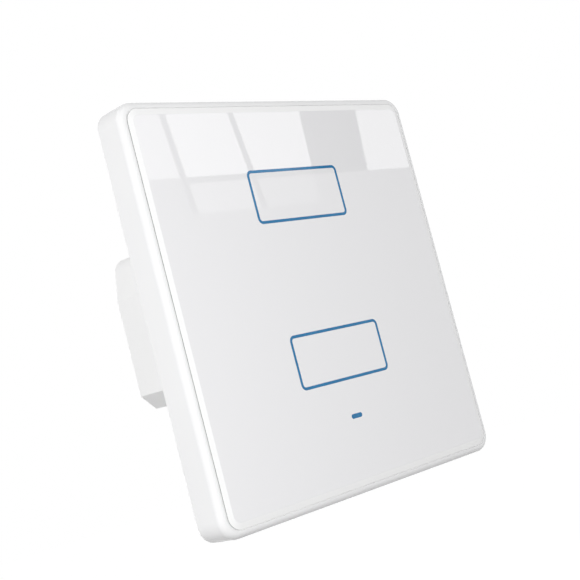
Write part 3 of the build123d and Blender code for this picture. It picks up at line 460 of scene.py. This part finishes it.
# Plug between the boards: black nylon header and socket with gilt pins. The terminals' tongues and the
# relays' fixed contacts are of the same gilt brass.
dress(
    mottled("black_nylon", pale=(0.03, 0.03, 0.03), deep=(0.018, 0.018, 0.018), cell=0.002,
            rough=(0.38, 0.5), grain=0.0003, lift=6e-6),
    "pin_header", "header_socket",
)
dress(
    mottled("gilt_brass", pale=(0.83, 0.62, 0.25), deep=(0.72, 0.5, 0.18), cell=0.001,
            rough=(0.22, 0.36), grain=0.0003, lift=4e-6, fixed=(("Metallic", 1.0),)),
    "header_pins", "terminal_tongues", *[f"relay_{number}_contact" for number in relays],
)

# Mounting plate: white matt moulding screwed to the wall box, hidden behind the front panel. Its rear
# side has ejector marks too.
dress(
    pressed_marks(
        mottled("matt_white", pale=(0.84, 0.84, 0.83), deep=(0.81, 0.81, 0.8), cell=0.015,
                rough=(0.42, 0.52), grain=0.0006, lift=1.2e-5),
        radius=0.0018, behind=-0.0004, sink=1e-4,
    ),
    "mounting_plate",
)

# Rear housing: the white box that goes into the wall, moulded in one piece and screwed to the plate. It
# is satin with a fine spark texture.
dress(
    mottled("satin_white", pale=(0.93, 0.93, 0.93), deep=(0.915, 0.915, 0.915), cell=0.012,
            rough=(0.34, 0.44), grain=0.0005, lift=6e-6),
    "rear_housing",
)

# Transformer: a dark ferrite core with a yellow taped winding, and a small ferrite choke beside it.
# Ferrite is pressed and fired, so it is grey-black and dull.
dress(
    mottled("ferrite", pale=(0.06, 0.06, 0.065), deep=(0.03, 0.03, 0.033), cell=0.0009,
            rough=(0.5, 0.7), grain=0.0002, lift=1.2e-5),
    "transformer_core", "inductor",
)
dress(
    mottled("winding_tape", pale=(0.82, 0.55, 0.06), deep=(0.72, 0.45, 0.04), cell=0.003,
            rough=(0.25, 0.4), grain=0.001, lift=1e-5),
    "transformer_winding",
)


# Capacitors: aluminium cans in dark shrunk sleeve, bare at the end away from the board or the leads,
# where a cross is scored as a vent. The film one is potted in yellow resin.
def bare_end(tree, along, end, first, second, radius, score=0.0003):
    """1 within the circle of that radius where along is past end, and half of it in the two scored
    lines, score metres wide, that cross at its centre: that half is painted shade for their grooves. first
    and second are the distances from the can's axis in the two other directions."""
    inside = arithmetic(tree, "LESS_THAN", length_of(tree, first, second), radius)
    clear = arithmetic(tree, "GREATER_THAN", arithmetic(tree, "MINIMUM", first, second), score / 2)
    # Painted shade: the scored lines get only half of the bare metal, darker than the rest of the end.
    shade = arithmetic(tree, "ADD", arithmetic(tree, "MULTIPLY", clear, 0.5), 0.5)
    past = arithmetic(tree, "GREATER_THAN", along, end)
    return arithmetic(tree, "MULTIPLY", arithmetic(tree, "MULTIPLY", inside, past), shade)


def sleeved_can(name, test):
    """Dark shrunk sleeve, and bare aluminium where test gives 1."""
    return two_finishes(name, first=(0.02, 0.03, 0.09), second=(0.72, 0.73, 0.74), test=test,
                        rough=(0.2, 0.32), cell=0.0012, lift=5e-6, metal=1.0)


# The bare end is a layer of this depth at the end of the can.
end_skin = 0.00005
mains_x, mains_y, mains_bare_radius = 0.00325, 0.005, 0.0032
mains_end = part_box("mains_capacitor")[1].z - end_skin
dress(
    sleeved_can("mains_can", lambda tree, x, y, z: bare_end(
        tree, z, mains_end, from_centre(tree, x, mains_x), from_centre(tree, y, mains_y), mains_bare_radius,
    )),
    "mains_capacitor",
)
output_x, output_z, output_bare_radius = 0.0132, 0.0102, 0.0024
output_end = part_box("output_capacitor")[0].y + end_skin
dress(
    sleeved_can("output_can", lambda tree, x, y, z: bare_end(
        tree, arithmetic(tree, "MULTIPLY", y, -1.0), -output_end,
        from_centre(tree, x, output_x), from_centre(tree, z, output_z), output_bare_radius,
    )),
    "output_capacitor",
)
dress(
    mottled("yellow_resin", pale=(0.78, 0.52, 0.05), deep=(0.7, 0.45, 0.04), cell=0.003,
            rough=(0.3, 0.42), grain=0.0008, lift=8e-6),
    "film_capacitor",
)

# Varistor and fuse: a disc dipped in blue lacquer, and a small ceramic tube between two pressed caps of
# nickel-plated brass.
cap_length = 0.0016
dress(
    mottled("dipped_blue", pale=(0.03, 0.13, 0.42), deep=(0.02, 0.1, 0.34), cell=0.002,
            rough=(0.25, 0.4), grain=0.001, lift=1.5e-5),
    "varistor",
)
fuse_centre, fuse_half_length = middle("fuse", 0)
dress(
    two_finishes(
        "capped_tube", first=(0.78, 0.75, 0.68), second=(0.66, 0.65, 0.62),
        test=lambda tree, x, y, z: beyond(tree, x, fuse_centre, fuse_half_length - cap_length),
        rough=(0.2, 0.32), cell=0.0006, lift=5e-6, metal=1.0,
    ),
    "fuse",
)

# Terminal block: grey glass-filled nylon, moulded in one piece round its four wire holes. The glass
# fibres leave faint streaks along it.
dress(
    mottled("grey_nylon", pale=(0.52, 0.53, 0.54), deep=(0.46, 0.47, 0.48), cell=0.003,
            rough=(0.42, 0.55), grain=0.0005, lift=1e-5, stretch=(3, 1, 1)),
    "terminal_block",
)


# Relays: black cases on black bases. Inside each, fine lacquered copper wire is wound in layers on a
# black bobbin, between its two flanges.
def wound_coil(name, start, end, turns, core, outer, ridge, centre, steps=40):
    """A winding round an axis along x through centre (y, z). Its closed profile runs from start to end
    at the radius outer, which dips by ridge between the turns of wire, and back at the radius core. It
    is carried round the axis in that many steps: a point is the centre plus (cos, sin) of the angle
    times its radius. swell is how much of ridge stands at each quarter of a turn."""
    swell = np.array([0.0, 0.6, 1.0, 0.6])
    along = np.concatenate([np.linspace(start, end, len(swell) * turns + 1), [end, start]])
    out = np.concatenate([outer - ridge + ridge * np.append(np.tile(swell, turns), 0.0), [core, core]])
    angle = np.arange(steps)[:, None] * 2 * np.pi / steps
    y, z = centre[0] + np.cos(angle) * out, centre[1] + np.sin(angle) * out
    return closed_grid(name, np.stack([np.broadcast_to(along, y.shape), y, z], -1))


flange, wire_clearance = 0.0007, 0.00005
bobbin_y, bobbin_z = 0.017975, 0.0057
dress(
    mottled("relay_case", pale=(0.035, 0.035, 0.038), deep=(0.022, 0.022, 0.025), cell=0.004,
            rough=(0.32, 0.45), grain=0.0004, lift=8e-6),
    *[f"relay_{number}_{piece}" for number in relays for piece in ("case", "base")],
)
dress(
    mottled("bobbin_nylon", pale=(0.045, 0.045, 0.05), deep=(0.03, 0.03, 0.033), cell=0.002,
            rough=(0.35, 0.48), grain=0.0003, lift=6e-6),
    *[f"relay_{number}_coil" for number in relays],
)
copper_wire = mottled("copper_wire", pale=(0.72, 0.32, 0.14), deep=(0.55, 0.22, 0.09), cell=0.0008,
                      rough=(0.25, 0.4), grain=0.0002, lift=4e-6, stretch=(1, 6, 6),
                      fixed=(("Metallic", 1.0),))
for number in relays:
    bobbin_low, bobbin_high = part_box(f"relay_{number}_coil")
    inset = flange + wire_clearance
    winding = wound_coil(
        f"relay_{number}_winding", start=bobbin_low.x + inset, end=bobbin_high.x - inset, turns=32,
        core=0.00205, outer=0.0029, ridge=0.00006, centre=(bobbin_y, bobbin_z),
    )
    winding.data.materials.append(copper_wire)
    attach(winding, "base")


# Floor: a plain pale sheet well below the switch. The camera sees it near white, less the shadow that
# falls on it, and it throws little light back up.
floor_level, floor_reach = -0.28, 3.0
lit_grey, shown_grey, floor_glow = (0.15, 0.15, 0.15, 1), (0.3, 0.3, 0.3, 1), 0.9


def flat_sheet(name, corners):
    """A flat sheet between four corners, which follow each other round its edge."""
    mesh = bpy.data.meshes.new(name)
    mesh.from_pydata(corners, [], [(0, 1, 2, 3)])
    sheet = bpy.data.objects.new(name, mesh)
    bpy.context.scene.collection.objects.link(sheet)
    return sheet


def background_ray(tree):
    """1 for rays from the camera, off a mirror or through glass, which see the background, otherwise 0."""
    path = tree.nodes.new("ShaderNodeLightPath")
    seen = arithmetic(tree, "MAXIMUM", path.outputs["Is Camera Ray"], path.outputs["Is Glossy Ray"])
    return arithmetic(tree, "MAXIMUM", seen, path.outputs["Is Transmission Ray"])


floor = flat_sheet("floor", [
    (x * floor_reach, y * floor_reach, floor_level) for x, y in ((-1, -1), (1, -1), (1, 1), (-1, 1))
])
floor_paper = bpy.data.materials.new("floor_paper")
floor_paper.use_nodes = True
tree = floor_paper.node_tree
tree.nodes.remove(tree.nodes["Principled BSDF"])
lit, shown, glow, both, pick = [
    tree.nodes.new("ShaderNode" + kind)
    for kind in ("BsdfDiffuse", "BsdfDiffuse", "Emission", "AddShader", "MixShader")
]
lit.inputs["Color"].default_value = lit_grey
shown.inputs["Color"].default_value = shown_grey
glow.inputs["Strength"].default_value = floor_glow
tree.links.new(shown.outputs[0], both.inputs[0])
tree.links.new(glow.outputs[0], both.inputs[1])
tree.links.new(background_ray(tree), pick.inputs["Fac"])
tree.links.new(lit.outputs[0], pick.inputs[1])
tree.links.new(both.outputs[0], pick.inputs[2])
tree.links.new(pick.outputs[0], tree.nodes["Material Output"].inputs["Surface"])
floor.data.materials.append(floor_paper)

# Room: white to the camera and to mirrors, and a soft grey light from all sides to everything else. It
# has no walls, so its light is even.
room_light, room_white = 0.34, 1.0
world = bpy.data.worlds.new("room")
bpy.context.scene.world = world
world.use_nodes = True
tree = world.node_tree
soft, white = tree.nodes["Background"], tree.nodes.new("ShaderNodeBackground")
for background, strength in ((soft, room_light), (white, room_white)):
    background.inputs["Color"].default_value = (1, 1, 1, 1)
    background.inputs["Strength"].default_value = strength
pick = tree.nodes.new("ShaderNodeMixShader")
tree.links.new(background_ray(tree), pick.inputs["Fac"])
tree.links.new(soft.outputs[0], pick.inputs[1])
tree.links.new(white.outputs[0], pick.inputs[2])
tree.links.new(pick.outputs[0], tree.nodes["World Output"].inputs["Surface"])

# Studio lamps: soft boxes about level with the switch, which don't show in it as reflections. Two stand
# to its left and one far in front to its right, a small one is close to the camera, and the last one
# lights the rear. Each has its name, its place, the length of its side in metres and its power in watts.
for name, place, side, power in (
    ("near_box", (-0.42, -0.28, 0.01), 0.2, 1.53),
    ("far_box", (0.5, -0.6, 0.04), 0.4, 2.1),
    ("side_box", (-0.5, 0.1, 0.1), 0.4, 0.47),
    ("close_box", (-0.14, -0.14, 0.0), 0.1, 0.05),
    ("rear_box", (0.4, 0.9, 0.3), 0.8, 7.0),
):
    lamp = bpy.data.lights.new(name, "AREA")
    lamp.size = side
    lamp.energy = power
    holder = bpy.data.objects.new(name, lamp)
    bpy.context.scene.collection.objects.link(holder)
    towards_switch = (-Vector(place)).to_track_quat("-Z", "Y").to_matrix().to_4x4()
    holder.matrix_world = Matrix.Translation(place) @ towards_switch
    holder.visible_glossy = False

# Window: bright panes far in front of the switch that show only as reflections in the upper part of its
# glass, with darker bars and a dark pillar between them.
eye = np.array([-0.193563, -0.184318, -0.019387])
window_level = -1.2
# A pane is given by the part of the glass's face that it is seen in. From the eye's mirror image, a line
# through each corner of that part is followed out to the window: reach is how many times as far.
mirrored_eye = eye * (1, -1, 1) + (0, 2 * glass_front, 0)
reach = (window_level - mirrored_eye[1]) / (glass_front - mirrored_eye[1])
# An upright is its left and its right side line: x at line_height, and how much x grows with z.
line_height = 0.04
first_bar = (-0.0335, -0.1125), (-0.0318, -0.1125)
second_bar = (-0.0149, -0.146), (-0.0132, -0.146)
pillar = (0.0069, 0.046), (0.0259, 0.086)
window_left, window_right = (-0.046, 0.0), (0.046, 0.0)
foot, sill, transom, head = 0.0195, 0.0257, 0.0270, 0.0500
# Each line holds a name, a brightness, the lower and upper ends, and the two side lines.
for name, brightness, low, high, *sides in (
    ("pane_1", 2.6, transom, head, window_left, first_bar[0]),
    ("pane_2", 3.2, transom, head, first_bar[1], second_bar[0]),
    ("pane_3", 3.2, transom, head, second_bar[1], pillar[0]),
    ("pane_4", 1.8, foot, sill, first_bar[1], second_bar[0]),
    ("pane_5", 1.45, foot, sill, second_bar[1], pillar[0]),
    ("pane_6", 3.0, sill, head, pillar[1], window_right),
    ("bar_1", 0.35, foot, head, *first_bar),
    ("bar_2", 0.35, foot, head, *second_bar),
    ("transom_1", 0.6, sill, transom, first_bar[1], second_bar[0]),
    ("transom_2", 0.6, sill, transom, second_bar[1], pillar[0]),
    ("pillar", 0.2, sill, head, *pillar),
):
    left, right = sides
    corners = np.array([
        (place + lean * (z - line_height), glass_front, z)
        for (place, lean), z in ((left, low), (left, high), (right, high), (right, low))
    ])
    light = bpy.data.materials.new(name + "_light")
    light.use_nodes = True
    tree = light.node_tree
    tree.nodes.remove(tree.nodes["Principled BSDF"])
    glow = tree.nodes.new("ShaderNodeEmission")
    glow.inputs["Strength"].default_value = brightness
    tree.links.new(glow.outputs[0], tree.nodes["Material Output"].inputs["Surface"])
    sheet = flat_sheet(name, (mirrored_eye + reach * (corners - mirrored_eye)).tolist())
    sheet.data.materials.append(light)
    sheet.visible_camera = sheet.visible_diffuse = sheet.visible_shadow = False

# Camera: low and to the left of the switch, near enough for strong perspective. It is turned about x, y
# and z by these angles in degrees.
camera_turn = (94.8652, 14.5831, -44.883)
camera_data = bpy.data.cameras.new("photo_camera")
camera_data.sensor_width = 36.0
camera_data.lens = 76.745
camera_data.clip_start = 0.01
camera = bpy.data.objects.new("photo_camera", camera_data)
bpy.context.scene.collection.objects.link(camera)
camera_tilt = Euler([radians(angle) for angle in camera_turn]).to_matrix().to_4x4()
camera.matrix_world = Matrix.Translation(eye) @ camera_tilt
bpy.context.scene.camera = camera
bpy.context.scene.view_settings.view_transform = "Standard"
